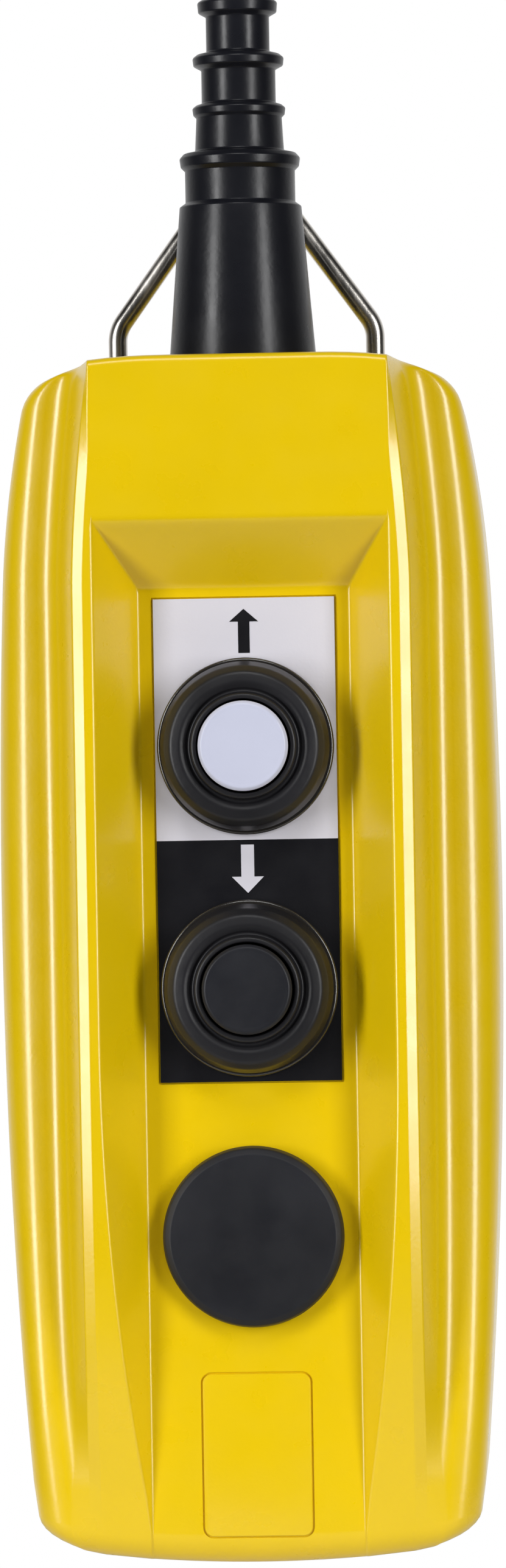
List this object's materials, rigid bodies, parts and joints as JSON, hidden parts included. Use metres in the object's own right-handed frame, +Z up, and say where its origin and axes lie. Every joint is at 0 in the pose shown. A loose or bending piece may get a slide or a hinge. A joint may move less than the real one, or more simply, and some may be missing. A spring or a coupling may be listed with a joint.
{
  "type": "pendant control station",
  "caption": "Hand-held hoist control box with up and down push buttons, a blanked position, stepped cable sleeve and wire suspension bail.",
  "frame": {"origin": "centre of the cable sleeve's mouth, where the cable enters", "axes": "+X to the right seen from the front, +Y from the buttons towards the back, +Z up along the cable"},
  "size_m": [0.083, 0.0675, 0.2605],
  "materials": {
    "yellow_plastic": "satin moulded, slightly glossy",
    "black_rubber": "smooth moulded rubber",
    "seal_rubber": "matt",
    "bright_steel": "bright drawn wire",
    "zinc_steel": "zinc plated",
    "white_plastic": "satin",
    "black_plastic": "fine moulded texture",
    "grey_plastic": "matt",
    "brass": "bright"
  },
  "bodies": {
    "housing": {"arrow_down": "white_plastic", "arrow_up": "black_plastic", "blanking_plug": "black_plastic", "blanking_plug_gasket": "seal_rubber", "blanking_plug_nut": "black_plastic", "button_down_bezel": "black_plastic", "button_down_boot": "black_rubber", "button_down_gasket": "seal_rubber", "button_down_nut": "black_plastic", "button_down_spring": "zinc_steel", "button_up_bezel": "black_plastic", "button_up_boot": "black_rubber", "button_up_gasket": "seal_rubber", "button_up_nut": "black_plastic", "button_up_spring": "zinc_steel", "cable_clamp": "grey_plastic", "cable_clamp_screws": "zinc_steel", "cable_sleeve": "black_rubber", "carrier_screws": "zinc_steel", "contact_block_screws": "zinc_steel", "contact_carrier": "grey_plastic", "contact_down_block": "grey_plastic", "contact_down_spring": "zinc_steel", "contact_down_terminal_screws": "zinc_steel", "contact_down_terminals": "brass", "contact_up_block": "grey_plastic", "contact_up_spring": "zinc_steel", "contact_up_terminal_screws": "zinc_steel", "contact_up_terminals": "brass", "enclosure_gasket": "seal_rubber", "enclosure_screws": "zinc_steel", "front_shell": "yellow_plastic", "legend_down": "black_plastic", "legend_up": "white_plastic", "rear_shell": "yellow_plastic"},
    "up_button": {"button_up_cap": "white_plastic", "button_up_plunger": "black_plastic", "button_up_clip": "zinc_steel", "contact_up_plunger": "black_plastic", "contact_up_bridge": "brass"},
    "down_button": {"button_down_cap": "black_plastic", "button_down_plunger": "black_plastic", "button_down_clip": "zinc_steel", "contact_down_plunger": "black_plastic", "contact_down_bridge": "brass"},
    "bail": {"suspension_bail": "bright_steel"}
  },
  "joints": [
    {"name": "up_button_press", "type": "slide", "parent": "housing", "child": "up_button", "axis": [0, 1, 0], "range_m": [0, 0.0045], "stiffness_N_per_m": 1000, "springref_m": -0.003, "deforming": ["button_up_boot", "button_up_spring", "contact_up_spring"]},
    {"name": "down_button_press", "type": "slide", "parent": "housing", "child": "down_button", "axis": [0, 1, 0], "range_m": [0, 0.0045], "stiffness_N_per_m": 1000, "springref_m": -0.003, "deforming": ["button_down_boot", "button_down_spring", "contact_down_spring"]},
    {"name": "bail_swing", "type": "hinge", "parent": "housing", "child": "bail", "pos_m": [0, 0.014, -0.0675], "axis": [-1, 0, 0], "range_deg": [0, 15]}
  ]
}
